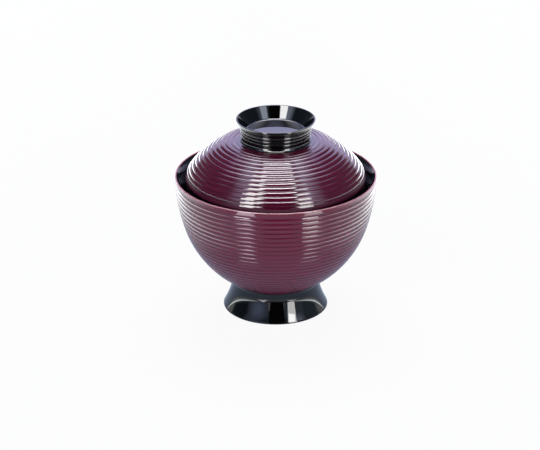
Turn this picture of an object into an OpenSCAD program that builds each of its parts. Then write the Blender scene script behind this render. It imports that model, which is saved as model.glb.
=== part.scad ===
// Turned soup bowl with a domed lid, wine red outside and black inside. Millimetres.
// The origin is the middle of the ring that the foot stands on, and +Z is up.
// Everything is turned on one axis, so each piece is one outline spun round Z.

/* [Bowl] */
// Outside diameter at the lip
rim_d = 110; // [100:0.5:124]
// Radius of the long curve of the upper wall, seen from the side
wall_curve_r = 100.4; // [88:0.2:116]
// Radius of the tighter curve of the belly
belly_curve_r = 57.3; // [51:0.1:64]
// Lean of the wall at the lip, in degrees from upright
lip_lean = 1.3; // [0:0.1:3]
// Lean where the wall turns into the belly
belly_lean = 17.8; // [15:0.1:20]
// Lean where the belly meets the foot
foot_lean = 59; // [56:0.5:62]
// Thickness of the rounded lip
lip_t = 0.92; // [0.8:0.02:1.2]
// Thickness of the wood and lacquer above the foot
floor_t = 3.5; // [2.5:0.1:5]
// Diameter of the flat middle of the floor
floor_flat_d = 22; // [12:0.5:30]

/* [Lid seat] */
// Slant of the seat inside the lip, in degrees from upright
seat_lean = 38; // [35:0.5:42]
// Height of the slanted seat
seat_h = 7; // [6.4:0.1:8]
// Rounding where the seat turns down into the bowl
seat_soft_r = 2; // [1:0.1:3]
// Gap between the lid's edge and the seat
seat_gap = 0.3; // [0.2:0.05:0.5]

/* [Turned ribs] */
// Width of one rib, along the curve
rib_pitch = 2.83; // [2.2:0.01:3.6]
// Depth of the grooves on the bowl
bowl_rib_depth = 0.34; // [0.2:0.02:0.5]
// Depth of the grooves on the lid, which are fainter
lid_rib_depth = 0.24; // [0.14:0.02:0.4]
// Plain band between the lip and the first groove
rib_lip_band = 3; // [2.6:0.1:5]
// Least plain band between the last groove's flank and the foot
rib_foot_band = 0.4; // [0.2:0.1:3]
// Plain band between the lid's edge and its first groove
rib_edge_band = 3; // [2.4:0.1:5]
// Least plain band between the last groove's flank and the knob
rib_knob_band = 0.2; // [0.1:0.1:3]

/* [Lacquer] */
// Thickness of each coat of lacquer
coat_t = 0.4; // [0.3:0.05:0.5]
// Depth of solid lacquer in the lip, above the wood
lip_cap = 0.6; // [0.5:0.05:0.9]

/* [Foot] */
// Outside diameter of the foot
foot_d = 57.6; // [52:0.2:64]
// Height of the foot
foot_h = 16.7; // [14:0.1:19]
// Height of the foot's lower edge, which stands upright above its rounding
foot_band_h = 0.6; // [0.5:0.1:1.6]
// Rounding of the foot's lower edges
foot_edge_r = 0.3; // [0.2:0.05:0.45]
// Height of the curve from the waist of the foot up to the bowl
foot_neck_h = 2; // [1.2:0.1:3.2]
// How far the waist of the foot stands in from the bowl's underside
foot_neck_in = 1.1; // [0.6:0.05:1.5]
// Thickness of the foot's wall
foot_wall_t = 3.2; // [2.6:0.1:4]
// Thickness of the disc that closes the foot's recess
foot_web_t = 2.4; // [1.6:0.1:3]
// Depth of the socket that holds the bowl's spigot
foot_socket_h = 3.4; // [2.4:0.1:4.4]
// Diameter of the bowl's spigot
foot_spigot_d = 38; // [30:0.5:41]

/* [Lid] */
// How far the lid's edge stands in from the bowl's lip
lid_inset = 5.8; // [5:0.1:6.5]
// Thickness of the lid's wall
lid_t = 3.6; // [3:0.1:4.4]
// Rounding of the lid's edge
lid_edge_r = 1; // [0.8:0.05:1.4]
// Height of the upright black band above the rounding
lid_band_h = 4; // [2.5:0.1:5]
// Radius of the curve from the black band into the dome
lid_turn_r = 9; // [7.4:0.1:11]
// Radius of the dome's curve
lid_dome_r = 47.5; // [44:0.1:51]
// Radius of the curve from the dome into its flat top
lid_shoulder_r = 15.9; // [13:0.1:18]
// Lean where the dome begins, in degrees from upright
lid_turn_lean = 35.5; // [32:0.5:39]
// Lean where the dome turns into its flat top
lid_shoulder_lean = 64.5; // [61:0.5:68]

/* [Knob] */
// Outside diameter of the knob's lip
knob_d = 43.2; // [40:0.2:46]
// Height of the knob above the dome
knob_h = 12.1; // [10.5:0.1:15]
// How far the narrowest part of the knob stands in from its lip
knob_waist_in = 3.1; // [2.4:0.1:3.6]
// How far the wall just under the lip stands in from it
knob_collar_in = 1.5; // [1:0.1:2]
// How far the bottom of the knob stands out from its waist
knob_spread = 1.3; // [0.8:0.1:1.8]
// Height of the curve at the bottom of the knob
knob_spread_h = 1.7; // [1:0.1:2.4]
// Height of the lip's upright edge
knob_lip_h = 0.9; // [0.7:0.05:1.3]
// Height of the curve under the lip
knob_neck_h = 1.1; // [0.6:0.1:1.6]
// Rounding of the lip's edges
knob_lip_r = 0.3; // [0.2:0.02:0.4]
// Thickness of the lip
knob_lip_t = 0.9; // [0.8:0.05:1.2]
// Depth of the knob's cup
knob_cup_h = 6.6; // [5.6:0.1:8.4]
// Slant of the cup's wall, in degrees from upright
knob_cup_lean = 36; // [26:0.5:38]
// Rounding between that wall and the cup's floor
knob_cup_soft_r = 1.4; // [0.8:0.1:2.6]
// Number of narrow grooves round the knob
knob_grooves = 3; // [2:1:4]
// Depth of those grooves
knob_groove_depth = 0.2; // [0.1:0.02:0.3]
// Width of those grooves
knob_groove_w = 0.8; // [0.5:0.05:1.2]
// Diameter of the knob's spigot
knob_spigot_d = 24; // [18:0.5:30]
// Depth of the socket that holds it
knob_socket_h = 2; // [1.4:0.1:2.2]

/* [Hidden] */

// Sides of every turned surface
turn_sides = 96;
// Steps in a round corner, a plain band, a long curve and half a groove of the knob
corner_steps = 5;
band_steps = 3;
curve_steps = 20;
groove_steps = 4;

// Gap that the glue fills round each spigot and under it
glue_gap = 0.1;

// How sharply a rib falls off towards its grooves: 2 is round, more is flatter on top
rib_fall_share = 2.4;
// Places of the outline's points across one rib, close together beside the groove
rib_shares = [0, 0.07, 0.17, 0.32, 0.5, 0.68, 0.83, 0.93];
// The wood under the lacquer needs fewer
core_rib_shares = [0, 0.2, 0.5, 0.8];
// How full the inside curve is, between 0.55 for an ellipse and 1 for a square corner
inside_full_share = 0.62;
// How fast the foot spreads below its waist
foot_flare_share = 1.6;

wine = "#5e2233";
black = "#17161b";
wood = "#b98d5e";

// An outline of arcs that join smoothly: its start, +1 to run up or -1 to run down,
// and its arcs, each a radius with its first and last lean from upright
function outward(lean, way) = [cos(lean), way * sin(lean)];
function onward(lean, way) = [-sin(lean), way * cos(lean)];
function arc_length(arc) = arc[0] * (arc[2] - arc[1]) * PI / 180;
function arc_step(arc, way, lean) = arc[0] * (outward(lean, way) - outward(arc[1], way));
function path_length(arcs, i = 0) =
    i == len(arcs) ? 0 : arc_length(arcs[i]) + path_length(arcs, i + 1);
function path_end(start, way, arcs, i = 0) =
    i == len(arcs) ? start
    : path_end(start + arc_step(arcs[i], way, arcs[i][2]), way, arcs, i + 1);

// Place and lean at a distance s along such an outline, straight on past its last arc
function path_at(start, way, arcs, s, i = 0) =
    i == len(arcs)
        ? let (lean = arcs[i - 1][2]) [start + s * onward(lean, way), lean]
    : s > arc_length(arcs[i])
        ? path_at(start + arc_step(arcs[i], way, arcs[i][2]), way, arcs,
            s - arc_length(arcs[i]), i + 1)
    : let (lean = arcs[i][1] + s / arcs[i][0] * 180 / PI)
        [start + arc_step(arcs[i], way, lean), lean];

// Ribs that fit between the first groove and the far flank of the last
function rib_count(width) = floor((width - rib_pitch / 2) / rib_pitch);

// How far down a groove a distance s lies, where the grooves run from first to last:
// 0 on a rib and 1 at the bottom
function groove(s, first, last) =
    let (
        inside = min(max(s, first), last),
        nearest = first + rib_pitch * round((inside - first) / rib_pitch),
        flank = max(0, 1 - 2 * abs(s - nearest) / rib_pitch)
    )
    pow(flank, rib_fall_share);

// Distances that need a point: every rib, the flanks of the outer two grooves, and steps
// over the plain bands on both sides
function stations(from, first, count, end, shares) =
    let (last = first + count * rib_pitch)
    concat(
        even_steps(from, first - rib_pitch / 2),
        [for (share = reversed(shares)) if (share > 0 && share < 0.5) first - share * rib_pitch],
        [for (i = [0:count - 1]) for (share = shares) first + (i + share) * rib_pitch],
        [for (share = shares) if (share < 0.5) last + share * rib_pitch],
        even_steps(last + rib_pitch / 2, end)
    );
function even_steps(from, to) = [for (i = [0:band_steps]) from + (to - from) * i / band_steps];

// Points of a ribbed outline, sunk square to it
function ribbed(start, way, arcs, places, first, last, depth, sink) = [
    for (s = places)
        let (spot = path_at(start, way, arcs, s))
        spot[0] - (depth * groove(s, first, last) + sink) * outward(spot[1], way)
];

function reversed(points) = [for (i = [len(points) - 1:-1:0]) points[i]];
function corner(centre, radius, from, to) = [
    for (i = [0:corner_steps])
        let (turn = from + (to - from) * i / corner_steps)
        centre + radius * [cos(turn), sin(turn)]
];

// Bowl outside, from the lip down to the foot
rim_r = rim_d / 2;
wall_arcs = [[wall_curve_r, lip_lean, belly_lean], [belly_curve_r, belly_lean, foot_lean]];
wall_drop = wall_curve_r * (sin(belly_lean) - sin(lip_lean))
    + belly_curve_r * (sin(foot_lean) - sin(belly_lean));
wall_top_z = foot_h + wall_drop;
wall_start = [rim_r, wall_top_z];
wall_length = path_length(wall_arcs);
foot_seat_r = path_end(wall_start, -1, wall_arcs)[0];
bowl_ribs = rib_count(wall_length - rib_lip_band - rib_foot_band);
bowl_last_groove = rib_lip_band + bowl_ribs * rib_pitch;
lip_r = lip_t / 2;

// Bowl inside, from the lip down the slanted seat, then in one curve to the floor
mouth_r = rim_r - lip_t;
seat_foot = [mouth_r - seat_h * tan(seat_lean), wall_top_z - seat_h];
seat_centre = seat_foot + seat_soft_r / cos(seat_lean / 2) * outward(seat_lean / 2, -1);
inside_top = seat_centre - seat_soft_r * outward(0, -1);
floor_z = foot_h + floor_t;
floor_edge = [floor_flat_d / 2, floor_z];
inside_curve = [
    inside_top,
    inside_top - [0, inside_full_share * (inside_top[1] - floor_z)],
    floor_edge + [inside_full_share * (inside_top[0] - floor_edge[0]), 0],
    floor_edge
];

function blend_point(p, t) =
    pow(1 - t, 3) * p[0] + 3 * t * pow(1 - t, 2) * p[1]
    + 3 * t * t * (1 - t) * p[2] + pow(t, 3) * p[3];
function blend_way(p, t) =
    pow(1 - t, 2) * (p[1] - p[0]) + 2 * t * (1 - t) * (p[2] - p[1]) + t * t * (p[3] - p[2]);
function into_wall(way) = [-way[1], way[0]] / norm(way);

// The lip's wood starts a little lower than its lacquer
lip_core_inner = [
    mouth_r - lip_cap * tan(seat_lean) + coat_t / cos(seat_lean),
    wall_top_z - lip_cap
];
function inside_points(sink) = concat(
    corner(seat_centre, sink - seat_soft_r, -seat_lean, 0),
    [for (i = [1:curve_steps])
        let (t = i / curve_steps)
        blend_point(inside_curve, t) + sink * into_wall(blend_way(inside_curve, t))],
    [[0, floor_z - sink]]
);
function bowl_outside(from, sink, shares) = ribbed(
    wall_start, -1, wall_arcs,
    stations(from, rib_lip_band, bowl_ribs, wall_length, shares),
    rib_lip_band, bowl_last_groove, bowl_rib_depth, sink
);

// Foot, from the ring that it stands on up to the bowl
foot_r = foot_d / 2;
foot_neck_r = foot_seat_r - foot_neck_in;
foot_neck_z = foot_h - foot_neck_h;
foot_socket_z = foot_h - foot_socket_h;
foot_recess_z = foot_socket_z - foot_web_t;
foot_spigot_r = foot_spigot_d / 2;
function foot_radius(z) =
    z < foot_band_h ? foot_r
    : z < foot_neck_z
        ? foot_neck_r + (foot_r - foot_neck_r)
            * pow((foot_neck_z - z) / (foot_neck_z - foot_band_h), foot_flare_share)
    : foot_neck_r + foot_neck_in * pow((z - foot_neck_z) / foot_neck_h, 2);
function foot_wall(low, high, sink) = [
    for (i = [0:curve_steps])
        let (z = low + (high - low) * i / curve_steps)
        [foot_radius(z) - sink, z]
];

// Lid outside, from the black band up to the knob. It sits where its rounded edge
// comes within the gap of the slanted seat.
lid_r = rim_r - lid_inset;
lid_edge_z = wall_top_z
    + (lid_edge_r + seat_gap + (lid_r - lid_edge_r - mouth_r) * cos(seat_lean))
    / sin(seat_lean);
lid_band_z = lid_edge_z + lid_band_h;
lid_start = [lid_r, lid_band_z];
lid_arcs = [
    [lid_turn_r, 0, lid_turn_lean],
    [lid_dome_r, lid_turn_lean, lid_shoulder_lean],
    [lid_shoulder_r, lid_shoulder_lean, 90]
];
lid_curve_length = path_length(lid_arcs);
lid_flat = path_end(lid_start, 1, lid_arcs);
knob_r = knob_d / 2;
knob_waist_r = knob_r - knob_waist_in;
knob_foot_r = knob_waist_r + knob_spread;
lid_length = lid_curve_length + lid_flat[0] - knob_foot_r;
lid_ribs = rib_count(lid_length - rib_edge_band - rib_knob_band);
lid_last_groove = rib_edge_band + lid_ribs * rib_pitch;
function lid_outside(sink, shares) = ribbed(
    lid_start, 1, lid_arcs,
    stations(0, rib_edge_band, lid_ribs, lid_length, shares),
    rib_edge_band, lid_last_groove, lid_rib_depth, sink
);
function lid_inside(sink) = concat(
    [for (i = [0:curve_steps])
        let (spot = path_at(lid_start, 1, lid_arcs, lid_curve_length * i / curve_steps))
        spot[0] - sink * outward(spot[1], 1)],
    [[0, lid_flat[1] - sink]]
);
// The rounded edge between them, from outside to inside
function lid_edge(sink) = concat(
    corner([lid_r - lid_edge_r, lid_edge_z], lid_edge_r - sink, 0, -90),
    corner([lid_r - lid_t + lid_edge_r, lid_edge_z], lid_edge_r - sink, -90, -180)
);

// Knob, seated on the wood of the dome with its bottom edge sunk in the lacquer
knob_seat_z = lid_flat[1] - coat_t;
knob_top_z = lid_flat[1] + knob_h;
knob_wall_low_z = lid_flat[1] + knob_spread_h;
knob_wall_high_z = knob_top_z - knob_lip_h - knob_neck_h;
knob_wall_h = knob_wall_high_z - knob_wall_low_z;
knob_collar_r = knob_r - knob_collar_in;
knob_spigot_r = knob_spigot_d / 2;
// The cup's wall runs straight from the rounding of the lip to the rounding of the floor
knob_floor_z = knob_top_z - knob_cup_h;
knob_lip_inner = [knob_r - knob_lip_t + knob_lip_r, knob_top_z - knob_lip_r];
knob_turns_r = knob_lip_r + knob_cup_soft_r;
knob_soft_z = knob_floor_z + knob_cup_soft_r;
knob_slant = (knob_lip_inner[1] + knob_turns_r * sin(knob_cup_lean) - knob_soft_z)
    / cos(knob_cup_lean);
knob_soft_centre = [
    knob_lip_inner[0] - knob_turns_r * cos(knob_cup_lean) - knob_slant * sin(knob_cup_lean),
    knob_soft_z
];

function knob_spread_curve() = [
    for (i = [0:corner_steps])
        let (turn = 90 * i / corner_steps)
        [knob_foot_r - knob_spread * sin(turn), lid_flat[1] + knob_spread_h * (1 - cos(turn))]
];
function knob_grooved_wall() = concat(
    [for (i = [1:knob_grooves])
        for (step = [-groove_steps:groove_steps])
            let (
                away = step / groove_steps,
                rise = i / (knob_grooves + 1) + away * knob_groove_w / 2 / knob_wall_h
            )
            [
                knob_waist_r + rise * (knob_collar_r - knob_waist_r)
                    - knob_groove_depth * pow(cos(90 * away), 2),
                knob_wall_low_z + rise * knob_wall_h
            ]],
    [[knob_collar_r, knob_wall_high_z]]
);
function knob_neck_curve() = [
    for (i = [1:corner_steps])
        let (turn = 90 * i / corner_steps)
        [knob_r - knob_collar_in * cos(turn), knob_wall_high_z + knob_neck_h * sin(turn)]
];

module turned(outline) {
    rotate_extrude($fn = turn_sides) polygon(outline);
}

// Turned wooden body of the bowl, with the spigot that the foot is glued to
module bowl_core() {
    skin = bowl_outside(lip_cap, coat_t, core_rib_shares);
    spigot_z = foot_socket_z + glue_gap;
    color(wood) turned(concat(
        [[0, spigot_z], [foot_spigot_r, spigot_z], [foot_spigot_r, foot_h]],
        [[skin[len(skin) - 1][0], foot_h]],
        reversed(skin),
        [lip_core_inner],
        inside_points(coat_t)
    ));
}

// Wine-red lacquer over the ribs and over the lip
module bowl_outer_coat() {
    back = bowl_outside(lip_cap, coat_t, core_rib_shares);
    color(wine) turned(concat(
        bowl_outside(0, 0, rib_shares),
        [[back[len(back) - 1][0], foot_h]],
        reversed(back),
        [lip_core_inner],
        reversed(corner([rim_r - lip_r, wall_top_z], lip_r, 0, 180))
    ));
}

// Black lacquer from the lip over the seat to the floor
module bowl_lining() {
    color(black) turned(concat(
        [[mouth_r, wall_top_z]],
        inside_points(0),
        reversed(inside_points(coat_t)),
        [lip_core_inner]
    ));
}

// Black foot ring, closed by a disc above its recess
module bowl_foot() {
    socket_r = foot_spigot_r + glue_gap;
    inner_r = foot_r - foot_wall_t;
    color(black) turned(concat(
        reversed(corner([foot_r - foot_edge_r, foot_edge_r], foot_edge_r, 0, -90)),
        foot_wall(foot_band_h, foot_h, 0),
        [[socket_r, foot_h], [socket_r, foot_socket_z], [0, foot_socket_z]],
        [[0, foot_recess_z]],
        reversed(foot_wall(foot_band_h, foot_recess_z, foot_wall_t)),
        reversed(corner([inner_r + foot_edge_r, foot_edge_r], foot_edge_r, -90, -180))
    ));
}

// Turned wooden dome of the lid, with the socket that the knob is glued into
module lid_core() {
    socket_r = knob_spigot_r + glue_gap;
    socket_z = knob_seat_z - knob_socket_h;
    color(wood) turned(concat(
        [[0, socket_z], [socket_r, socket_z], [socket_r, knob_seat_z]],
        reversed(lid_outside(coat_t, core_rib_shares)),
        lid_edge(coat_t),
        lid_inside(lid_t - coat_t)
    ));
}

// Wine-red lacquer on the dome, from the black band to the knob
module lid_outer_coat() {
    color(wine) turned(concat(
        lid_outside(0, rib_shares),
        reversed(lid_outside(coat_t, core_rib_shares))
    ));
}

// Black lacquer inside the lid and round its edge
module lid_lining() {
    color(black) turned(concat(
        [lid_start],
        lid_edge(0),
        lid_inside(lid_t),
        reversed(lid_inside(lid_t - coat_t)),
        reversed(lid_edge(coat_t)),
        [lid_start - [coat_t, 0]]
    ));
}

// Black ring knob with a dished cup, which is also what the lid stands on upside down
module lid_knob() {
    spigot_z = knob_seat_z - knob_socket_h + glue_gap;
    lip_outer = [knob_r - knob_lip_r, knob_top_z - knob_lip_r];
    color(black) turned(concat(
        [[0, spigot_z], [knob_spigot_r, spigot_z], [knob_spigot_r, knob_seat_z]],
        [[knob_foot_r, knob_seat_z]],
        knob_spread_curve(),
        knob_grooved_wall(),
        knob_neck_curve(),
        corner(lip_outer, knob_lip_r, 0, 90),
        corner(knob_lip_inner, knob_lip_r, 90, 180 - knob_cup_lean),
        corner(knob_soft_centre, knob_cup_soft_r, -knob_cup_lean, -90),
        [[0, knob_floor_z]]
    ));
}

bowl_core();
bowl_outer_coat();
bowl_lining();
bowl_foot();
lid_core();
lid_outer_coat();
lid_lining();
lid_knob();
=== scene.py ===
# %% [markdown]
# A lidded soup bowl in turned, lacquered wood
#
# The bowl and its lid are spun on a lathe, ribbed with a narrow gouge, and brushed with
# many thin coats of lacquer: wine red outside, black inside and on the foot and the knob.
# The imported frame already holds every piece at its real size. Here the shown pieces are
# turned again as much finer meshes, so that the reflections run smoothly round the ribs.

# %% Load the frame
import math

import bmesh
import bpy
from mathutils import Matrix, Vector


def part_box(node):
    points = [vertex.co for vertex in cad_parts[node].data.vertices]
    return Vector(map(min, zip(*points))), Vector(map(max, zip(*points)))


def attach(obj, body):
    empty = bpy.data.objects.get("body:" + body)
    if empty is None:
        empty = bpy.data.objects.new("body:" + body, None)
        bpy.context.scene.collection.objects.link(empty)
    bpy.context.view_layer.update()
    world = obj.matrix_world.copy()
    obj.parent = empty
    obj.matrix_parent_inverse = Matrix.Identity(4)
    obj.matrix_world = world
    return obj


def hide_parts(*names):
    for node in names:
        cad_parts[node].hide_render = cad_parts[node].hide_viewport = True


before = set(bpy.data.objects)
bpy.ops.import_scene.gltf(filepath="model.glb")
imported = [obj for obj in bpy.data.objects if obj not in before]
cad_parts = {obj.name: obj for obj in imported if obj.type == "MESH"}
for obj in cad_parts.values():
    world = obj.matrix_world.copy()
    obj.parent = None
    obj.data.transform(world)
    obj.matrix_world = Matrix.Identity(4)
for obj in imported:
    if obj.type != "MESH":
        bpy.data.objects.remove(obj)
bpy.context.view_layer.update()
print("pieces in the frame:", sorted(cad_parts))

# %% [markdown]
# The photograph was taken with a long lens from a little above. Three turned circles, the
# lip, the knob and the foot, show as three ellipses, and those fix the lens and the tilt.
# A long lens keeps the circles nearly parallel, so the camera stands well back. The bowl
# stands a few pixels right of the middle, so the camera stands that much to the left.

# %% Camera
LENS = 160
SENSOR_WIDTH = 36
CAMERA_BACK = 1.2103
CAMERA_UP = 0.5721
CAMERA_LEFT = 0.0031
CAMERA_TILT = 23.456

camera_data = bpy.data.cameras.new("camera")
camera_data.lens = LENS
camera_data.sensor_width = SENSOR_WIDTH
camera = bpy.data.objects.new("camera", camera_data)
bpy.context.scene.collection.objects.link(camera)
bpy.context.scene.camera = camera
camera.location = (-CAMERA_LEFT, -CAMERA_BACK, CAMERA_UP)
camera.rotation_euler = (math.radians(90 - CAMERA_TILT), 0, 0)
print("camera at", [round(v, 4) for v in camera.location])

# %% [markdown]
# Every piece is one outline spun round the upright axis, as on the lathe. An outline could
# be typed as a list of points, but a turner works with sweeps: a long curve for the wall, a
# tighter one for the belly. So an outline here is a few arcs that join smoothly, each with
# a radius and the lean at its two ends, and a function that walks along them.

# %% Outlines made of arcs
MM = 0.001


def outward(lean, way):
    """Square to an outline that leans so many degrees, where way is 1 to run up or -1 down."""
    return Vector((math.cos(math.radians(lean)), way * math.sin(math.radians(lean))))


def onward(lean, way):
    """Along such an outline."""
    return Vector((-math.sin(math.radians(lean)), way * math.cos(math.radians(lean))))


def arc_length(arc):
    radius, lean, last_lean = arc
    return radius * math.radians(last_lean - lean)


def walk(start, way, arcs, distance):
    """Place and lean at a distance along the arcs, straight on past the last one."""
    spot = start.copy()
    for arc in arcs:
        radius, lean, last_lean = arc
        if distance <= arc_length(arc):
            here = lean + math.degrees(distance / radius)
            return spot + radius * (outward(here, way) - outward(lean, way)), here
        spot += radius * (outward(last_lean, way) - outward(lean, way))
        distance -= arc_length(arc)
    return spot + distance * onward(last_lean, way), last_lean


quarter = (10 * MM, 0, 90)
print("a quarter turn of 10 mm is", round(arc_length(quarter) / MM, 2), "mm long")

# %% [markdown]
# Edges that a hand can feel are rounded on the lathe. Such a corner is a short arc of
# points, which could also be a bevel, but this way it is part of the outline from the start.

# %% Rounded corners
def steps(low, high, count):
    return [low + (high - low) * i / count for i in range(count + 1)]


def corner(centre, radius, first, last, count=8):
    """Points round a corner, between two directions in degrees."""
    return [
        centre + radius * Vector((math.cos(math.radians(turn)), math.sin(math.radians(turn))))
        for turn in steps(first, last, count)
    ]


print("steps from 0 to 1:", steps(0, 1, 4))

# %% [markdown]
# The ribs are left between shallow grooves, each one pass of a gouge. Seen in section a rib
# is a flat cushion whose sides fall away faster towards the groove. A displacement or a
# bump texture would fake that, but the ribs catch the light at the bowl's edge too, so they
# are real geometry: the outline sinks along its own square direction. Lacquer gathers in
# the bottom of each groove, which rounds it and darkens it, so every point also keeps how
# far down a groove it lies.

# %% Ribs
RIB_PITCH = 2.83 * MM
BOWL_RIB_DEPTH = 0.34 * MM
LID_RIB_DEPTH = 0.24 * MM
RIB_FALL = 2.4
GROOVE_SOFTNESS = 0.05 * MM
COAT = 0.4 * MM


def groove(distance, first, last):
    """How far down a groove, from 0 on a rib to 1 at the bottom."""
    inside = min(max(distance, first), last)
    nearest = first + RIB_PITCH * round((inside - first) / RIB_PITCH)
    away = math.hypot(distance - nearest, GROOVE_SOFTNESS) - GROOVE_SOFTNESS
    return max(0.0, 1 - 2 * away / RIB_PITCH) ** RIB_FALL


print("grooves:", round(BOWL_RIB_DEPTH / MM, 2), "mm deep on the bowl,",
      round(LID_RIB_DEPTH / MM, 2), "mm on the lid")

# %% [markdown]
# A groove bends most at its bottom, so the points stand closest there, and the plain bands
# at both ends need only a few. Evenly spaced points would take several times as many for an
# equally smooth highlight. The same points, sunk by the thickness of a coat, also make the
# back of the lacquer, so that a coat is a closed skin and not a sheet.

# %% Points of a ribbed outline
RIB_SHARES = [0, 0.035, 0.08, 0.14, 0.22, 0.33, 0.5, 0.67, 0.78, 0.86, 0.92, 0.965]
FIRST_BAND_STEPS = 5
LAST_BAND_STEPS = 4


def rib_count(width):
    return math.floor((width - RIB_PITCH / 2) / RIB_PITCH)


def stations(first, count, start, end):
    """Distances that need a point: both plain bands, the outer flanks and every rib."""
    last = first + count * RIB_PITCH
    before = [first - share * RIB_PITCH for share in reversed(RIB_SHARES) if 0 < share < 0.5]
    after = [last + share * RIB_PITCH for share in RIB_SHARES if share < 0.5]
    ribs = [first + (i + share) * RIB_PITCH for i in range(count) for share in RIB_SHARES]
    return (
        steps(start, first - RIB_PITCH / 2, FIRST_BAND_STEPS) + before + ribs + after
        + steps(last + RIB_PITCH / 2, end, LAST_BAND_STEPS)
    )


def ribbed(start, way, arcs, places, first, last, depth, sink):
    """Points of a ribbed outline, each with its share of a groove."""
    points = []
    for distance in places:
        spot, lean = walk(start, way, arcs, distance)
        share = groove(distance, first, last)
        spot -= (share * depth + sink) * outward(lean, way)
        points.append((spot, share))
    return points


print("ribs on a band of 30 mm:", rib_count(30 * MM))

# %% [markdown]
# Spinning an outline could be left to a Screw modifier, but a mesh made point by point can
# close neatly on the axis and carry the groove share with it. It is made with 192 sides,
# which keeps the edge of a 110 mm circle within a hundredth of a millimetre. Wherever the
# outline turns by more than 40 degrees its ring stays a crisp edge. Besides the groove
# share, a point can be marked for a painted highlight, which the lip's nose gets.

# %% Spin an outline
SIDES = 192
CRISP_ANGLE = 40
ON_AXIS = 1e-7


def spin(name, outline, highlight_points=()):
    """One closed mesh from an outline whose points are places, or places with a share."""
    points = [p if isinstance(p, tuple) else (p, 0.0) for p in outline]
    mesh = bpy.data.meshes.new(name)
    places, shares, painted_highlight, rings = [], [], [], []
    for number, (spot, share) in enumerate(points):
        sides = 1 if spot.x < ON_AXIS else SIDES
        rings.append(range(len(places), len(places) + sides))
        for i in range(sides):
            turn = 2 * math.pi * i / sides
            places.append((spot.x * math.cos(turn), spot.x * math.sin(turn), spot.y))
            shares.append(share)
            # Points of the lip's nose are marked for the painted highlight.
            painted_highlight.append(1.0 if number in highlight_points else 0.0)
    faces = []
    for ring, next_ring in zip(rings, rings[1:] + rings[:1]):
        if len(ring) == 1 and len(next_ring) == 1:
            continue
        for i in range(SIDES):
            j = (i + 1) % SIDES
            corners = [ring[i % len(ring)], ring[j % len(ring)]]
            corners += [next_ring[j % len(next_ring)], next_ring[i % len(next_ring)]]
            faces.append(list(dict.fromkeys(corners)))
    mesh.from_pydata(places, [], faces)
    for label, values in (("groove", shares), ("painted_highlight", painted_highlight)):
        mesh.attributes.new(label, "FLOAT", "POINT").data.foreach_set("value", values)
    work = bmesh.new()
    work.from_mesh(mesh)
    bmesh.ops.recalc_face_normals(work, faces=work.faces)
    work.to_mesh(mesh)
    work.free()
    mesh.shade_smooth()
    mesh.set_sharp_from_angle(angle=math.radians(CRISP_ANGLE))
    piece = bpy.data.objects.new(name, mesh)
    bpy.context.scene.collection.objects.link(piece)
    print(name, len(mesh.vertices), "points")
    return piece


# %% [markdown]
# A finer mesh must go where the frame's plain piece goes when the lid is lifted. Parenting
# it by hand would work until the frame changes, so the frame's own helpers tie each piece
# to its body and take the plain one out of sight, and the piece gets its finish.

# %% Dress a piece
def dress(piece, body, node, material):
    """Puts a piece on its body, in place of the frame's plain node."""
    piece.data.materials.append(material)
    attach(piece, body)
    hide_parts(node)
    print(piece.name, "takes the place of", node, "on the", body)


# %% [markdown]
# Lacquer is a tinted, slightly milky film under a hard clear polish. A plain glossy colour
# would miss that depth, so the shader has two layers: a soft coloured base that scatters
# the light, and a clear coat that mirrors the room. The coat alone gives the mirror, which
# keeps black lacquer truly black. On top come the marks of real work: the faint waves of a
# brushed and rubbed film, hair-fine lines from polishing on the lathe, and colour that
# deepens where the film lies thick in a groove. Nodes could be placed and joined one by one
# each time. A few small helpers keep the recipes below short enough to read.

# %% Nodes and sums
def new_material(name):
    material = bpy.data.materials.new(name)
    material.use_nodes = True
    return material, material.node_tree.nodes, material.node_tree.links


def add(nodes, kind, label=None, **inputs):
    """A node with its inputs set, where an underscore in a name stands for a space."""
    node = nodes.new(kind)
    if label:
        node.label = label
    for key, value in inputs.items():
        node.inputs[key.replace("_", " ")].default_value = value
    return node


def math_node(nodes, links, operation, first, second):
    """One sum, whose two terms are sockets or numbers."""
    node = nodes.new("ShaderNodeMath")
    node.operation = operation
    for socket, value in zip(node.inputs, (first, second)):
        if isinstance(value, (int, float)):
            socket.default_value = value
        else:
            links.new(value, socket)
    return node.outputs[0]


# %% [markdown]
# Clouds and fibres come from noise: a pattern gives a share from 0 to 1, the share
# is stretched to the range that shows, and it mixes two colours.

# %% Patterns and mixes
def noise(nodes, links, vector, scale, detail=3.0, roughness=0.5):
    node = add(nodes, "ShaderNodeTexNoise", Scale=scale, Detail=detail, Roughness=roughness)
    links.new(vector, node.inputs["Vector"])
    return node.outputs["Fac"]


def mapped(nodes, links, value, low, high, to_low, to_high):
    node = nodes.new("ShaderNodeMapRange")
    for socket, number in zip(node.inputs[1:5], (low, high, to_low, to_high)):
        socket.default_value = number
    links.new(value, node.inputs["Value"])
    return node.outputs["Result"]


def mixed(nodes, links, share, first, second):
    """A colour between two, which are colours or sockets."""
    node = nodes.new("ShaderNodeMix")
    node.data_type = "RGBA"
    links.new(share, node.inputs["Factor"])
    for socket, value in zip((node.inputs[6], node.inputs[7]), (first, second)):
        if isinstance(value, tuple):
            socket.default_value = (*value, 1)
        else:
            links.new(value, socket)
    return node.outputs[2]


def painted(nodes, links, colour, attribute, other):
    """A colour that turns into the other one where a mesh attribute says so."""
    share = nodes.new("ShaderNodeAttribute")
    share.attribute_name = attribute
    return mixed(nodes, links, share.outputs["Fac"], colour, other)


# %% [markdown]
# Marks of the lathe run round a piece, so a texture for them can't use plain X and Y. It
# uses the distance from the axis and the height, which are the same all the way round.

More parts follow.
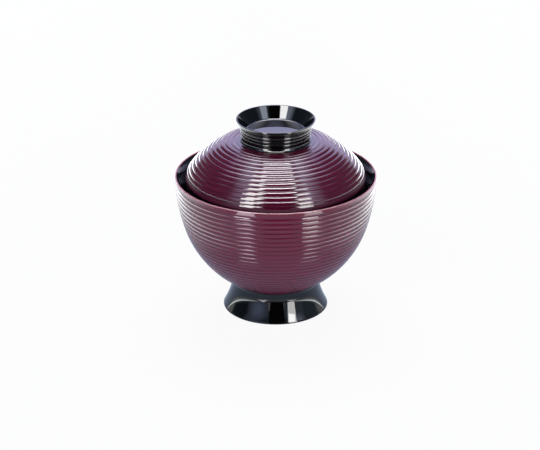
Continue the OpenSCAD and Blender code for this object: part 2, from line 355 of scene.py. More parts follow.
# %% Round the axis
def turning_vector(nodes, links):
    """Distance from the axis and height only, so that a texture runs round the piece."""
    place = nodes.new("ShaderNodeTexCoord").outputs["Object"]
    split = nodes.new("ShaderNodeSeparateXYZ")
    links.new(place, split.inputs[0])
    square_x = math_node(nodes, links, "MULTIPLY", split.outputs[0], split.outputs[0])
    square_y = math_node(nodes, links, "MULTIPLY", split.outputs[1], split.outputs[1])
    square = math_node(nodes, links, "ADD", square_x, square_y)
    radius = math_node(nodes, links, "SQRT", square, 0.0)
    joined = nodes.new("ShaderNodeCombineXYZ")
    links.new(radius, joined.inputs["X"])
    links.new(split.outputs[2], joined.inputs["Z"])
    return place, joined.outputs[0]


# %% [markdown]
# Now the lacquer itself. The base is rough and has no shine of its own, and the coat over it
# is nearly a perfect mirror, but for the two bumps.

# %% Lacquer
BASE_ROUGHNESS = 0.42
COAT_ROUGHNESS = 0.02
COAT_IOR = 1.5
BRUSH_WAVES = 160
BRUSH_HEIGHT = 0.012 * MM
POLISH_LINES = 5200
POLISH_HEIGHT = 0.0004 * MM
CLOUDS = 38
CLOUD_LOW = 0.35
CLOUD_HIGH = 0.65


def lacquer(name, colour, deep_colour, pale_colour, highlight_colour):
    """Polished lacquer: a soft coloured base under a clear mirror coat."""
    material, nodes, links = new_material(name)
    shader = nodes["Principled BSDF"]
    shader.inputs["Roughness"].default_value = BASE_ROUGHNESS
    shader.inputs["Specular IOR Level"].default_value = 0.0
    shader.inputs["Coat Weight"].default_value = 1.0
    shader.inputs["Coat Roughness"].default_value = COAT_ROUGHNESS
    shader.inputs["Coat IOR"].default_value = COAT_IOR
    place, turning = turning_vector(nodes, links)

    clouds = noise(nodes, links, place, CLOUDS, 4.0, 0.55)
    cloud_share = mapped(nodes, links, clouds, CLOUD_LOW, CLOUD_HIGH, 0.0, 1.0)
    cloudy = mixed(nodes, links, cloud_share, colour, pale_colour)
    grooved = painted(nodes, links, cloudy, "groove", deep_colour)
    # The lip's nose gets a painted highlight here: a pale pink that stands in for the lamps mirrored
    # on its rounded edge.
    painted_highlight = painted(nodes, links, grooved, "painted_highlight", highlight_colour)
    links.new(painted_highlight, shader.inputs["Base Color"])

    waves = noise(nodes, links, place, BRUSH_WAVES, 2.0, 0.4)
    lines = noise(nodes, links, turning, POLISH_LINES, 2.0, 0.6)
    soft = add(nodes, "ShaderNodeBump", Strength=1.0, Distance=BRUSH_HEIGHT)
    links.new(waves, soft.inputs["Height"])
    fine = add(nodes, "ShaderNodeBump", Strength=1.0, Distance=POLISH_HEIGHT)
    links.new(lines, fine.inputs["Height"])
    links.new(soft.outputs["Normal"], fine.inputs["Normal"])
    links.new(fine.outputs["Normal"], shader.inputs["Normal"])
    links.new(fine.outputs["Normal"], shader.inputs["Coat Normal"])
    return material


# %% [markdown]
# A colour picked straight off the photograph would come out too pale, because the mirrored
# room lies on top of it there. So the base is darker and redder than it looks. The lid's
# red is a darker copy of the bowl's, which paints shade on the lid, and the lip carries a
# painted highlight: a pale pink line that stands in for the lamps mirrored on its nose.

# %% Colours of the lacquer
WINE = (0.156, 0.0085, 0.039)
WINE_DEEP = (0.128, 0.0065, 0.031)
WINE_PALE = (0.168, 0.0105, 0.044)
# A painted highlight for the lip's nose: pale pink in place of the lamps mirrored on it.
WINE_HIGHLIGHT = (0.62, 0.2, 0.26)
# The lid's reds are darker copies of the bowl's, which paint shade on the lid.
LID_WINE_SHADED = (0.112, 0.005, 0.029)
LID_WINE_SHADED_DEEP = (0.09, 0.004, 0.023)
LID_WINE_SHADED_PALE = (0.122, 0.006, 0.032)
BLACK = (0.0015, 0.0015, 0.002)
BLACK_DEEP = (0.001, 0.001, 0.0015)
BLACK_PALE = (0.003, 0.0028, 0.003)

wine_lacquer = lacquer("wine lacquer", WINE, WINE_DEEP, WINE_PALE, WINE_HIGHLIGHT)
shaded_lid_lacquer = lacquer("wine lacquer, shaded for the lid", LID_WINE_SHADED, LID_WINE_SHADED_DEEP, LID_WINE_SHADED_PALE, WINE_HIGHLIGHT)
black_lacquer = lacquer("black lacquer", BLACK, BLACK_DEEP, BLACK_PALE, BLACK_PALE)
print("lacquers:", [made.name for made in (wine_lacquer, shaded_lid_lacquer, black_lacquer)])

# %% [markdown]
# Under the lacquer is a light, even-grained wood. It never shows on a sound bowl, but the
# cores are real pieces, so they get a real finish: growth rings from a wave texture, since
# a turned bowl is cut across the tree, with fine fibres along the grain.

# %% Turned wood
GROWTH_RINGS = 70
RING_WOBBLE = 5
FIBRES = 900
FIBRE_SHARE = 0.35
FIBRE_HEIGHT = 0.05 * MM
WOOD_ROUGHNESS = 0.62
LATE_WOOD = (0.56, 0.37, 0.21)
EARLY_WOOD = (0.72, 0.53, 0.34)
FIBRE_BROWN = (0.42, 0.26, 0.14)


def turned_wood(name):
    material, nodes, links = new_material(name)
    shader = nodes["Principled BSDF"]
    place = nodes.new("ShaderNodeTexCoord").outputs["Object"]
    rings = add(nodes, "ShaderNodeTexWave", Scale=GROWTH_RINGS, Distortion=RING_WOBBLE, Detail=3.0)
    rings.bands_direction = "X"
    links.new(place, rings.inputs["Vector"])
    fibres = noise(nodes, links, place, FIBRES, 4.0)
    grain = mixed(nodes, links, rings.outputs["Fac"], LATE_WOOD, EARLY_WOOD)
    share = mapped(nodes, links, fibres, 0.4, 0.7, 0.0, FIBRE_SHARE)
    links.new(mixed(nodes, links, share, grain, FIBRE_BROWN), shader.inputs["Base Color"])
    shader.inputs["Roughness"].default_value = WOOD_ROUGHNESS
    bump = add(nodes, "ShaderNodeBump", Strength=0.4, Distance=FIBRE_HEIGHT)
    links.new(fibres, bump.inputs["Height"])
    links.new(bump.outputs["Normal"], shader.inputs["Normal"])
    return material


wood = turned_wood("turned wood")
for core in ("bowl_core", "lid_core"):
    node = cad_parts[core]
    node.data.materials.clear()
    node.data.materials.append(wood)
    print(core, "is", wood.name)

# %% [markdown]
# The bowl's wall is two sweeps: a long one from the lip, and a tighter one for the belly.
# Its foot height and lip radius come from the frame. The lip is one small half circle, thin
# enough to drink from, where the red coat rolls over to meet the black lining.

# %% The bowl's wall
LIP_T = 0.92 * MM
LIP_CAP = 0.6 * MM
WALL_ARCS = [(100.4 * MM, 1.3, 17.8), (57.3 * MM, 17.8, 59)]
RIB_LIP_BAND = 3 * MM
RIB_FOOT_BAND = 0.4 * MM
SEAT_LEAN = 38

bowl_low, bowl_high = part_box("bowl_outer_coat")
rim_r = bowl_high.x
wall_top_z = bowl_high.z - LIP_T / 2
mouth_r = rim_r - LIP_T
foot_top_z = bowl_low.z
wall_start = Vector((rim_r, wall_top_z))
wall_length = sum(arc_length(arc) for arc in WALL_ARCS)
bowl_ribs = rib_count(wall_length - RIB_LIP_BAND - RIB_FOOT_BAND)
bowl_last_groove = RIB_LIP_BAND + bowl_ribs * RIB_PITCH
foot_seat_r = walk(wall_start, -1, WALL_ARCS, wall_length)[0].x
print("ribs on the bowl:", bowl_ribs)

# %% [markdown]
# The coat's outline runs down the ribbed wall, in under the foot, back up inside the wood
# and over the lip's nose. The nose gets a painted highlight, but for its innermost points,
# where the red is dark again before it meets the black.

# %% Bowl outside
NOSE_STEPS = 14
NOSE_WITHOUT_HIGHLIGHT = 2

lip_seam = Vector((
    mouth_r - LIP_CAP * math.tan(math.radians(SEAT_LEAN)) + COAT / math.cos(math.radians(SEAT_LEAN)),
    wall_top_z - LIP_CAP,
))


def bowl_outside(start, sink):
    places = stations(RIB_LIP_BAND, bowl_ribs, start, wall_length)
    return ribbed(wall_start, -1, WALL_ARCS, places, RIB_LIP_BAND, bowl_last_groove,
                  BOWL_RIB_DEPTH, sink)


bowl_back = bowl_outside(LIP_CAP, COAT)
nose_centre = Vector((rim_r - LIP_T / 2, wall_top_z))
lip_nose = corner(nose_centre, LIP_T / 2, 180, 0, NOSE_STEPS)[:-1]
bowl_outline = (
    bowl_outside(0, 0) + [Vector((bowl_back[-1][0].x, foot_top_z))] + bowl_back[::-1]
    + [lip_seam] + lip_nose
)
# These nose points carry the painted highlight.
highlit_nose = range(len(bowl_outline) - NOSE_STEPS + NOSE_WITHOUT_HIGHLIGHT, len(bowl_outline))
bowl_skin = spin("bowl_outer_lacquer", bowl_outline, highlit_nose)
dress(bowl_skin, "bowl", "bowl_outer_coat", wine_lacquer)

# %% [markdown]
# Inside, a slanted seat carries the lid a little below the lip. Under it the wall swings in
# one curve to a flat floor, which a Bezier curve with upright and level ends gives.

# %% The curve of the inside
SEAT_H = 7 * MM
SEAT_SOFT_R = 2 * MM
FLOOR_T = 3.5 * MM
FLOOR_FLAT_R = 11 * MM
INSIDE_FULL = 0.62

seat_foot = Vector((mouth_r - SEAT_H * math.tan(math.radians(SEAT_LEAN)), wall_top_z - SEAT_H))
half_lean = SEAT_LEAN / 2
seat_centre = seat_foot + SEAT_SOFT_R / math.cos(math.radians(half_lean)) * outward(half_lean, -1)
inside_top = seat_centre - SEAT_SOFT_R * outward(0, -1)
floor_z = foot_top_z + FLOOR_T
floor_edge = Vector((FLOOR_FLAT_R, floor_z))
inside_curve = (
    inside_top,
    inside_top - Vector((0, INSIDE_FULL * (inside_top.y - floor_z))),
    floor_edge + Vector((INSIDE_FULL * (inside_top.x - floor_edge.x), 0)),
    floor_edge,
)
print("the bowl is", round((wall_top_z - floor_z) / MM, 1), "mm deep inside")

# %% [markdown]
# The lining's back follows the same curve, sunk into the wood by the thickness of a coat.
# Scaling the curve would make the coat thicker in some places, so each point moves square
# to the curve instead.

# %% Bowl inside
INSIDE_STEPS = 40


def on_curve(curve, t):
    a, b, c, d = curve
    return (1 - t) ** 3 * a + 3 * t * (1 - t) ** 2 * b + 3 * t * t * (1 - t) * c + t ** 3 * d


def into_wall(curve, t):
    """Square to the curve, into the wood."""
    a, b, c, d = curve
    way = (1 - t) ** 2 * (b - a) + 2 * t * (1 - t) * (c - b) + t * t * (d - c)
    return Vector((-way.y, way.x)).normalized()


def inside_points(sink):
    soft = corner(seat_centre, SEAT_SOFT_R - sink, 180 - SEAT_LEAN, 180)
    wall = [on_curve(inside_curve, t) + sink * into_wall(inside_curve, t)
            for t in steps(0, 1, INSIDE_STEPS)[1:]]
    return soft + wall + [Vector((0, floor_z - sink))]


bowl_inside = spin(
    "bowl_lining",
    [Vector((mouth_r, wall_top_z))] + inside_points(0) + inside_points(COAT)[::-1] + [lip_seam],
)
dress(bowl_inside, "bowl", "bowl_lining", black_lacquer)

# %% [markdown]
# The foot is a flared ring under a closed disc. A short curve leads from the bowl in to its
# waist. From there the flare is a power curve, nearly upright at the waist and spreading
# faster towards the table, where it ends in a low edge with two small roundings.

# %% Foot
FOOT_BAND_H = 0.6 * MM
FOOT_EDGE_R = 0.3 * MM
FOOT_NECK_H = 2 * MM
FOOT_NECK_IN = 1.1 * MM
FOOT_WALL_T = 3.2 * MM
FOOT_WEB_T = 2.4 * MM
FOOT_SOCKET_H = 3.4 * MM
FOOT_SOCKET_R = 19.1 * MM
FOOT_FLARE = 1.6
FOOT_STEPS = 30

foot_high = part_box("bowl_foot")[1]
foot_r = foot_high.x
foot_h = foot_high.z
neck_r = foot_seat_r - FOOT_NECK_IN
neck_z = foot_h - FOOT_NECK_H
socket_z = foot_h - FOOT_SOCKET_H
recess_z = socket_z - FOOT_WEB_T


def foot_radius(z):
    if z < neck_z:
        share = (neck_z - z) / (neck_z - FOOT_BAND_H)
        return neck_r + (foot_r - neck_r) * share ** FOOT_FLARE
    return neck_r + FOOT_NECK_IN * ((z - neck_z) / FOOT_NECK_H) ** 2


def foot_wall(low, high, sink):
    return [Vector((foot_radius(z) - sink, z)) for z in steps(low, high, FOOT_STEPS)]


inner_r = foot_r - FOOT_WALL_T
foot = spin(
    "bowl_foot_ring",
    corner(Vector((foot_r - FOOT_EDGE_R, FOOT_EDGE_R)), FOOT_EDGE_R, -90, 0)
    + foot_wall(FOOT_BAND_H, foot_h, 0)
    + [Vector((FOOT_SOCKET_R, foot_h)), Vector((FOOT_SOCKET_R, socket_z))]
    + [Vector((0, socket_z)), Vector((0, recess_z))]
    + foot_wall(FOOT_BAND_H, recess_z, FOOT_WALL_T)[::-1]
    + corner(Vector((inner_r + FOOT_EDGE_R, FOOT_EDGE_R)), FOOT_EDGE_R, 180, 270),
)
dress(foot, "bowl", "bowl_foot", black_lacquer)

# %% [markdown]
# The lid is a dome of three sweeps over a plain black band: a small turn out of the band,
# the long dome, and a shoulder that runs level under the knob. The ribs stop where the knob
# spreads at its foot, so the knob's own sizes decide how long the ribbed part is.

# %% The dome's curve
LID_ARCS = [(9 * MM, 0, 35.5), (47.5 * MM, 35.5, 64.5), (15.9 * MM, 64.5, 90)]
RIB_EDGE_BAND = 3 * MM
RIB_KNOB_BAND = 0.2 * MM
KNOB_WAIST_IN = 3.1 * MM
KNOB_SPREAD = 1.3 * MM

lid_low, lid_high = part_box("lid_outer_coat")
knob_low, knob_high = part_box("lid_knob")
lid_r = lid_high.x
lid_start = Vector((lid_r, lid_low.z))
lid_curve_length = sum(arc_length(arc) for arc in LID_ARCS)
lid_flat = walk(lid_start, 1, LID_ARCS, lid_curve_length)[0]
knob_r = knob_high.x
knob_foot_r = knob_r - KNOB_WAIST_IN + KNOB_SPREAD
lid_length = lid_curve_length + lid_flat.x - knob_foot_r
lid_ribs = rib_count(lid_length - RIB_EDGE_BAND - RIB_KNOB_BAND)
lid_last_groove = RIB_EDGE_BAND + lid_ribs * RIB_PITCH
print("ribs on the lid:", lid_ribs)

# %% [markdown]
# Red lacquer covers the dome between the band and the knob. The coat is a closed skin, so
# its outline goes out along the ribs and comes back inside the wood.

# %% Lid outside
def lid_outside(sink):
    places = stations(RIB_EDGE_BAND, lid_ribs, 0, lid_length)
    return ribbed(lid_start, 1, LID_ARCS, places, RIB_EDGE_BAND, lid_last_groove,
                  LID_RIB_DEPTH, sink)


lid_skin = spin("lid_outer_lacquer", lid_outside(0) + lid_outside(COAT)[::-1])
# The dome takes the darker copy of the red, as painted shade.
dress(lid_skin, "lid", "lid_outer_coat", shaded_lid_lacquer)

# %% [markdown]
# Black lacquer goes round the rounded edge and over the whole inside. The inside keeps the
# dome's own curve, sunk square to it by the lid's thickness, so the wall is equally thick
# everywhere but has no ribs within.

# %% Lid inside and edge
LID_T = 3.6 * MM
LID_EDGE_R = 1 * MM
DOME_STEPS = 40

lid_edge_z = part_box("lid_lining")[0].z + LID_EDGE_R


def lid_inside(sink):
    """The dome's own curve, sunk square to it, from the edge up to the crown."""
    points = []
    for distance in steps(0, lid_curve_length, DOME_STEPS):
        spot, lean = walk(lid_start, 1, LID_ARCS, distance)
        points.append(spot - sink * outward(lean, 1))
    return points + [Vector((0, lid_flat.y - sink))]


def lid_edge(sink):
    outer = Vector((lid_r - LID_EDGE_R, lid_edge_z))
    inner = Vector((lid_r - LID_T + LID_EDGE_R, lid_edge_z))
    return (corner(outer, LID_EDGE_R - sink, 0, -90)
            + corner(inner, LID_EDGE_R - sink, -90, -180))


lid_under = spin(
    "lid_lining",
    [lid_start] + lid_edge(0) + lid_inside(LID_T) + lid_inside(LID_T - COAT)[::-1]
    + lid_edge(COAT)[::-1] + [lid_start - Vector((COAT, 0))],
)
dress(lid_under, "lid", "lid_lining", black_lacquer)

# %% [markdown]
# The knob is a small bowl of its own, so that the lid can be set down on it. Its wall leans
# out to a thin lip and carries three narrow grooves, whose steep lower sides catch each lamp
# as a short dash.

# %% The knob's wall
KNOB_COLLAR_IN = 1.5 * MM
KNOB_SPREAD_H = 1.7 * MM
KNOB_LIP_H = 0.9 * MM
KNOB_NECK_H = 1.1 * MM
KNOB_GROOVES = 3
KNOB_GROOVE_DEPTH = 0.2 * MM
KNOB_GROOVE_W = 0.8 * MM
GROOVE_STEPS = 12

knob_top_z = knob_high.z
waist_r = knob_r - KNOB_WAIST_IN
collar_r = knob_r - KNOB_COLLAR_IN
wall_low_z = lid_flat.y + KNOB_SPREAD_H
wall_high_z = knob_top_z - KNOB_LIP_H - KNOB_NECK_H
wall_h = wall_high_z - wall_low_z


def knob_groove(number, away):
    """A point across one groove, where away runs from -1 to 1, and its share of the groove."""
    share = math.cos(math.radians(90 * away)) ** 2
    rise = number / (KNOB_GROOVES + 1) + away * KNOB_GROOVE_W / 2 / wall_h
    radius = waist_r + rise * (collar_r - waist_r) - KNOB_GROOVE_DEPTH * share
    return Vector((radius, wall_low_z + rise * wall_h)), share


knob_wall = [
    knob_groove(number, away)
    for number in range(1, KNOB_GROOVES + 1)
    for away in steps(-1, 1, GROOVE_STEPS)
]
print("the knob's wall is", round(wall_h / MM, 2), "mm high between lip and foot")

# %% [markdown]
# The wall of its cup is slanted and turns softly into a flat floor. Lip and floor are given,
# so the slant between their two roundings takes up the height that is left. Points close to
# its two ends keep the shading of the roundings from spreading over the slant.

# %% The knob's cup
KNOB_LIP_R = 0.3 * MM
KNOB_LIP_T = 0.9 * MM
KNOB_CUP_H = 6.6 * MM
KNOB_CUP_LEAN = 36
KNOB_CUP_SOFT_R = 1.4 * MM
SLANT_SHARES = (0.04, 0.5, 0.96)

lip_outer = Vector((knob_r - KNOB_LIP_R, knob_top_z - KNOB_LIP_R))
lip_inner = Vector((knob_r - KNOB_LIP_T + KNOB_LIP_R, knob_top_z - KNOB_LIP_R))
cup_floor_z = knob_top_z - KNOB_CUP_H
cup_soft_z = cup_floor_z + KNOB_CUP_SOFT_R
into_cup = -outward(KNOB_CUP_LEAN, -1)
down_wall = Vector((-into_cup.y, into_cup.x))
cup_turns = (KNOB_LIP_R + KNOB_CUP_SOFT_R) * into_cup
cup_slant = (lip_inner.y + cup_turns.y - cup_soft_z) / -down_wall.y
cup_soft = lip_inner + cup_turns + cup_slant * down_wall
lip_turn = corner(lip_inner, KNOB_LIP_R, 90, 180 - KNOB_CUP_LEAN)
floor_turn = corner(cup_soft, KNOB_CUP_SOFT_R, -KNOB_CUP_LEAN, -90)
cup_wall = [lip_turn[-1].lerp(floor_turn[0], share) for share in SLANT_SHARES]
print("the slant of the cup is", round(cup_slant / MM, 2), "mm long")

# %% [markdown]
# Two sweeps are left: the spread at the knob's foot, and the neck under its lip. Neither is
# as wide as it is high, so a quarter of a circle is stretched to fit. Under the foot a spigot
# goes down into the dome.

# %% Knob
KNOB_SPIGOT_R = 12 * MM
SWEEP_STEPS = 8

knob_seat_z = lid_flat.y - COAT


def sweep(place):
    """Points of a quarter turn, from a function of its sine and cosine."""
    turns = [math.radians(turn) for turn in steps(0, 90, SWEEP_STEPS)]
    return [Vector(place(math.sin(turn), math.cos(turn))) for turn in turns]


knob = spin(
    "lid_knob_ring",
    [Vector((0, knob_low.z)), Vector((KNOB_SPIGOT_R, knob_low.z))]
    + [Vector((KNOB_SPIGOT_R, knob_seat_z)), Vector((knob_foot_r, knob_seat_z))]
    + sweep(lambda s, c: (knob_foot_r - KNOB_SPREAD * s, lid_flat.y + KNOB_SPREAD_H * (1 - c)))
    + knob_wall + [Vector((collar_r, wall_high_z))]
    + sweep(lambda s, c: (knob_r - KNOB_COLLAR_IN * c, wall_high_z + KNOB_NECK_H * s))[1:]
    + corner(lip_outer, KNOB_LIP_R, 0, 90) + lip_turn + cup_wall + floor_turn
    + [Vector((0, cup_floor_z))],
)
dress(knob, "lid", "lid_knob", black_lacquer)

# %% [markdown]
# Lacquer is a mirror, so the room matters as much as the shader. The photograph shows white
# paper under the bowl, a tall lamp at the right, a higher one at the left, a broad one
# overhead, and a dark gap between them where the camera stands. Directions are given as seen
# from the bowl: azimuth 0 is the camera's side, 90 the right, and elevation 90 straight up.

# %% Directions
AIM = Vector((0, 0, 0.06))


def towards(azimuth, elevation, distance):
    """A place seen from the bowl."""
    turn, rise = math.radians(azimuth), math.radians(elevation)
    level = math.cos(rise)
    away = Vector((math.sin(turn) * level, -math.cos(turn) * level, math.sin(rise)))
    return AIM + distance * away


def face_bowl(thing, azimuth, elevation, distance):
    thing.location = towards(azimuth, elevation, distance)
    thing.rotation_mode = "QUATERNION"
    thing.rotation_quaternion = (AIM - thing.location).to_track_quat("Z", "Y")


def spread(degrees, distance):
    """Width of something that looks so many degrees wide from the bowl."""
    return 2 * distance * math.tan(math.radians(degrees / 2))


print("30 degrees at 2 m are", round(spread(30, 2), 3), "m wide")

# %% [markdown]
# The room is white to the camera and in mirrors, but a white room would also light the bowl
# from all sides, and the lamps would hardly show. So for all other rays it is a weak, bluish
# window light.

# %% White room
WHITE = (1, 1, 1, 1)
WINDOW_LIGHT = (0.72, 1, 1.3)
AMBIENT = 0.15


def seen_share(nodes, links):
    """1 for rays from the camera, a mirror or glass, and 0 for the rest."""
    path = nodes.new("ShaderNodeLightPath")
    mirror = math_node(
        nodes, links, "MAXIMUM", path.outputs["Is Glossy Ray"], path.outputs["Is Transmission Ray"]
    )
    return math_node(nodes, links, "MAXIMUM", path.outputs["Is Camera Ray"], mirror)


def white_room():
    world = bpy.data.worlds.new("white room")
    world.use_nodes = True
    nodes, links = world.node_tree.nodes, world.node_tree.links
    seen = seen_share(nodes, links)
    background = nodes["Background"]
    links.new(mixed(nodes, links, seen, WINDOW_LIGHT, WHITE[:3]), background.inputs["Color"])
    links.new(mapped(nodes, links, seen, 0, 1, AMBIENT, 1), background.inputs["Strength"])
    bpy.context.scene.world = world
    print("the room is a", world.name)


white_room()

# %% [markdown]
# The table is white paper, and it has to keep the bowl's shadow. Lit paper alone would come
# out grey far from the lamps. So for the camera most of the paper glows, and the share that
# is left takes the shadow. In mirrors it glows less.

# %% Paper
FLOOR_SIZE = 12
PAPER_WHITE = (0.9, 0.9, 0.9, 1)
PAPER_ROUGHNESS = 0.9
PAPER_SHINE = 0.1
PAPER_SEEN = 0.93
PAPER_IN_MIRRORS = 0.2


def panel(name, width, height):
    """A flat rectangle that faces +Z."""
    mesh = bpy.data.meshes.new(name)
    x, y = width / 2, height / 2
    mesh.from_pydata([(-x, -y, 0), (x, -y, 0), (x, y, 0), (-x, y, 0)], [], [(0, 1, 2, 3)])
    piece = bpy.data.objects.new(name, mesh)
    bpy.context.scene.collection.objects.link(piece)
    return piece


def paper(name):
    """Paper that is white to the camera, and whiter to mirrors too than its light makes it."""
    material, nodes, links = new_material(name)
    matt = nodes["Principled BSDF"]
    matt.inputs["Base Color"].default_value = PAPER_WHITE
    matt.inputs["Roughness"].default_value = PAPER_ROUGHNESS
    matt.inputs["Specular IOR Level"].default_value = PAPER_SHINE
    glow = add(nodes, "ShaderNodeEmission", Color=WHITE, Strength=1.0)
    mix = nodes.new("ShaderNodeMixShader")
    camera_share = nodes.new("ShaderNodeLightPath").outputs["Is Camera Ray"]
    for_mirrors = mapped(nodes, links, seen_share(nodes, links), 0, 1, 0, PAPER_IN_MIRRORS)
    for_camera = mapped(nodes, links, camera_share, 0, 1, 0, PAPER_SEEN)
    share = math_node(nodes, links, "MAXIMUM", for_mirrors, for_camera)
    links.new(share, mix.inputs["Fac"])
    links.new(matt.outputs["BSDF"], mix.inputs[1])
    links.new(glow.outputs["Emission"], mix.inputs[2])
    links.new(mix.outputs["Shader"], nodes["Material Output"].inputs["Surface"])
    return material


floor = panel("floor", FLOOR_SIZE, FLOOR_SIZE)
floor.data.materials.append(paper("white paper"))
print("the floor is", FLOOR_SIZE, "m wide")

# %% [markdown]
# A lamp does two things to lacquer: it lights the colour under the polish, and its face is
# mirrored in it. Real lamps are many times brighter than white paper. One lamp for both
# would either wash out the colour or leave the mirror image dull. So each light is split in
# two at one place: an area lamp of plain strength that only lights, and a glowing card that
# only mirrors see. The lamps come first: two in front, and one above and a little behind.

# %% Lamps
PLAIN = 3.0
PLAIN_ABOVE = 3.8
LAMP_DISTANCE = 1.8


def softbox(name, azimuth, elevation, size, radiance):
    """A lamp that lights the colour, with its size in degrees."""
    data = bpy.data.lights.new(name, "AREA")
    data.shape = "RECTANGLE"
    data.size, data.size_y = (spread(degrees, LAMP_DISTANCE) for degrees in size)
    data.energy = radiance * math.pi * data.size * data.size_y
    lamp = bpy.data.objects.new(name, data)
    bpy.context.scene.collection.objects.link(lamp)
    face_bowl(lamp, azimuth, elevation, LAMP_DISTANCE)
    lamp.rotation_quaternion = (AIM - lamp.location).to_track_quat("-Z", "Y")
    lamp.visible_camera = False
    lamp.visible_glossy = False
    print(name, "gives", round(data.energy, 1), "W")


softbox("right lamp", 37, 12, (18, 42), PLAIN)
softbox("left lamp", -31, 34, (30, 27), PLAIN)
softbox("top lamp", 180, 62, (40, 40), PLAIN_ABOVE)

# %% [markdown]
# A card is a flat rectangle that glows for mirrors only. A real softbox is bright in the
# middle and falls off to its cloth rim, and so does a card: its glow fades out over a share
# of its width at each edge. A hard-edged card would draw its outline in the lacquer.

# %% A card that glows
def edge_fade(nodes, links, coordinate, soft):
    """1 over the middle of a card and down to 0 over the soft share of its half width."""
    centred = math_node(nodes, links, "SUBTRACT", coordinate, 0.5)
    offset = math_node(nodes, links, "ABSOLUTE", centred, 0.0)
    fade = nodes.new("ShaderNodeMapRange")
    fade.interpolation_type = "SMOOTHSTEP"
    for socket, number in zip(fade.inputs[1:5], (0.5 * (1 - soft), 0.5, 1.0, 0.0)):
        socket.default_value = number
    links.new(offset, fade.inputs["Value"])
    return fade.outputs["Result"]


def glowing(piece, glow, soft):
    """Makes a panel glow for mirrors only, faded out over the soft share at its edges."""
    material, nodes, links = new_material(piece.name)
    place = nodes.new("ShaderNodeTexCoord").outputs["Generated"]
    split = nodes.new("ShaderNodeSeparateXYZ")
    links.new(place, split.inputs[0])
    across = edge_fade(nodes, links, split.outputs[0], soft)
    along = edge_fade(nodes, links, split.outputs[1], soft)
    strength = max(glow)
    colour = [channel / strength for channel in glow] if strength > 0 else [0, 0, 0]
    light = add(nodes, "ShaderNodeEmission", Color=(*colour, 1), Strength=strength)
    clear = nodes.new("ShaderNodeBsdfTransparent")
    mix = nodes.new("ShaderNodeMixShader")
    links.new(math_node(nodes, links, "MULTIPLY", across, along), mix.inputs["Fac"])
    links.new(clear.outputs[0], mix.inputs[1])
    links.new(light.outputs[0], mix.inputs[2])
    links.new(mix.outputs["Shader"], nodes["Material Output"].inputs["Surface"])
    piece.data.materials.append(material)
    piece.visible_camera = False
    piece.visible_diffuse = False
    piece.visible_shadow = False
    print(piece.name, "glows at", strength)


# %% [markdown]
# These are the cards of the room, from the farthest to the nearest, since a near card covers
# a far one. The far ones are the dim parts of the room and the black between the lamps, which
# take the white out of the mirror. Nearer are the soft halos round each lamp, and nearest the
# bright faces of the lamps. One small card hangs just outside the lid's edge, where the left
# lamp is mirrored low.

# %% Cards in the room
BLACK_GLOW = (0, 0, 0)


def dim(level):
    """The dim parts of the room get bluish window light."""
    return tuple(channel * level for channel in WINDOW_LIGHT)


def card(name, azimuth, elevation, size, distance, glow, soft):
    """A card in the room. Its size is in degrees and its glow a colour."""
    piece = panel(name, spread(size[0], distance), spread(size[1], distance))
    face_bowl(piece, azimuth, elevation, distance)
    glowing(piece, glow, soft)


card("ceiling", 0, 90, (150, 150), 3.2, dim(0.25), 0.1)
card("back paper", 0, 140, (90, 80), 3.0, (1.6, 1.6, 2.5), 0.4)
card("low left", -46, 9, (58, 34), 2.75, (0.4, 0.48, 0.66), 0.15)
card("low right", 48, 9, (58, 34), 2.75, (0.4, 0.48, 0.66), 0.15)
card("right side", 105, 30, (96, 52), 2.6, dim(0.15), 0.4)
card("left side", -112, 30, (96, 52), 2.6, dim(0.15), 0.4)
card("left low side", -88, 8, (50, 22), 2.5, dim(0.1), 0.4)
card("right low side", 86, 8, (46, 24), 2.5, dim(0.3), 0.4)
card("left low glow", -42, 10, (46, 36), 2.45, (1.0, 1.2, 1.9), 0.9)
card("front gap", 3, 24, (34, 66), 2.4, BLACK_GLOW, 0.05)
card("top halo", 3, 88, (80, 28), 2.3, (3.6, 3.8, 5.4), 0.6)
card("right halo", 54, 32, (34, 40), 2.2, (2.6, 2.8, 3.5), 0.9)
card("left halo", -50, 44, (40, 34), 2.2, (2.5, 2.8, 3.6), 0.9)
card("top gap", 3, 86, (46, 18), 2.2, dim(0.3), 0.3)
card("right glow", 48, 46, (20, 16), 2.1, (4.8, 5.4, 6.6), 0.4)
card("top tail", 0, 116, (50, 36), 2.0, (15, 15, 17), 0.8)
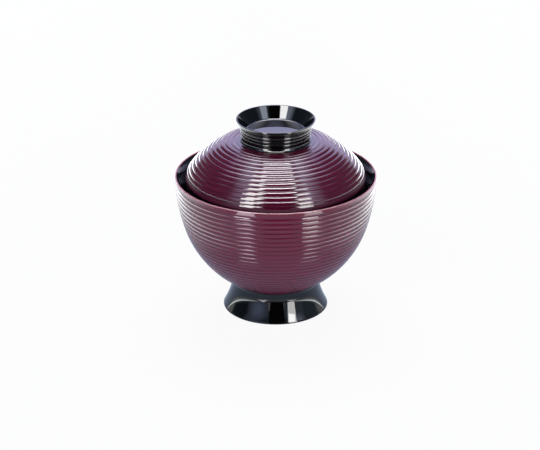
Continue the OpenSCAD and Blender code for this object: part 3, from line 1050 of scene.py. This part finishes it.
card("top face", 5, 71, (36, 9.5), LAMP_DISTANCE, (36, 36, 36), 0.15)
card("right face", 38, 15, (19, 58), LAMP_DISTANCE, (11, 11, 11), 0.12)
card("left face", -33, 44, (20, 28), LAMP_DISTANCE, (21, 21, 21), 0.25)
card("right hot spot", 37.5, 21.5, (17, 12), 1.7, (23, 23, 23), 0.4)
card("lid edge card", -31, 20.4, (16, 18), 0.146, (20, 20, 20), 0.25)

# %% [markdown]
# The undersides of bowl and foot mirror the table, so it gets such cards too, flat on the
# paper: a dim one under the foot, painted as the bowl's shadow, the dark end where the
# camera stands, the bright paper at both sides, and each front lamp's narrow streak on it.

# %% Cards on the table
def floor_card(name, azimuth, reach, width, lift, glow, soft):
    """A card just above the table, which reaches from near to far, in metres."""
    near, far = reach
    piece = panel(name, width, far - near)
    turn = math.radians(azimuth)
    middle = (near + far) / 2
    piece.location = (middle * math.sin(turn), -middle * math.cos(turn), lift)
    piece.rotation_euler = (0, 0, turn)
    glowing(piece, glow, soft)


# This dim card is a painted shadow: the bowl's shade on the paper, as mirrors see it.
floor_card("shaded table by the foot", 0, (-0.12, 0.12), 0.24, 0.3 * MM, (0.5, 0.6, 0.8), 0.3)
floor_card("dark end of the table", 0, (0.25, 2.45), 2.6, 0.2 * MM, (0.15, 0.18, 0.24), 0.05)
floor_card("left table", -108, (0.11, 0.9), 1.8, 0.4 * MM, (7.0, 7.5, 7.7), 0.6)
floor_card("right table", 108, (0.11, 0.9), 1.8, 0.4 * MM, (7.4, 7.7, 7.9), 0.6)
floor_card("left lamp on table", -30, (0.11, 1.2), 0.07, 0.5 * MM, (8.2, 7.5, 8.4), 0.2)
floor_card("right lamp on table", 38, (0.11, 1.2), 0.07, 0.5 * MM, (6.2, 6.2, 6.2), 0.2)

# %% [markdown]
# A product photograph shows white paper as white. The film-like view would turn it grey and
# wash out the black, so the plain one is used.

# %% Colours as they are
bpy.context.scene.view_settings.view_transform = "Standard"
print("view:", bpy.context.scene.view_settings.view_transform)
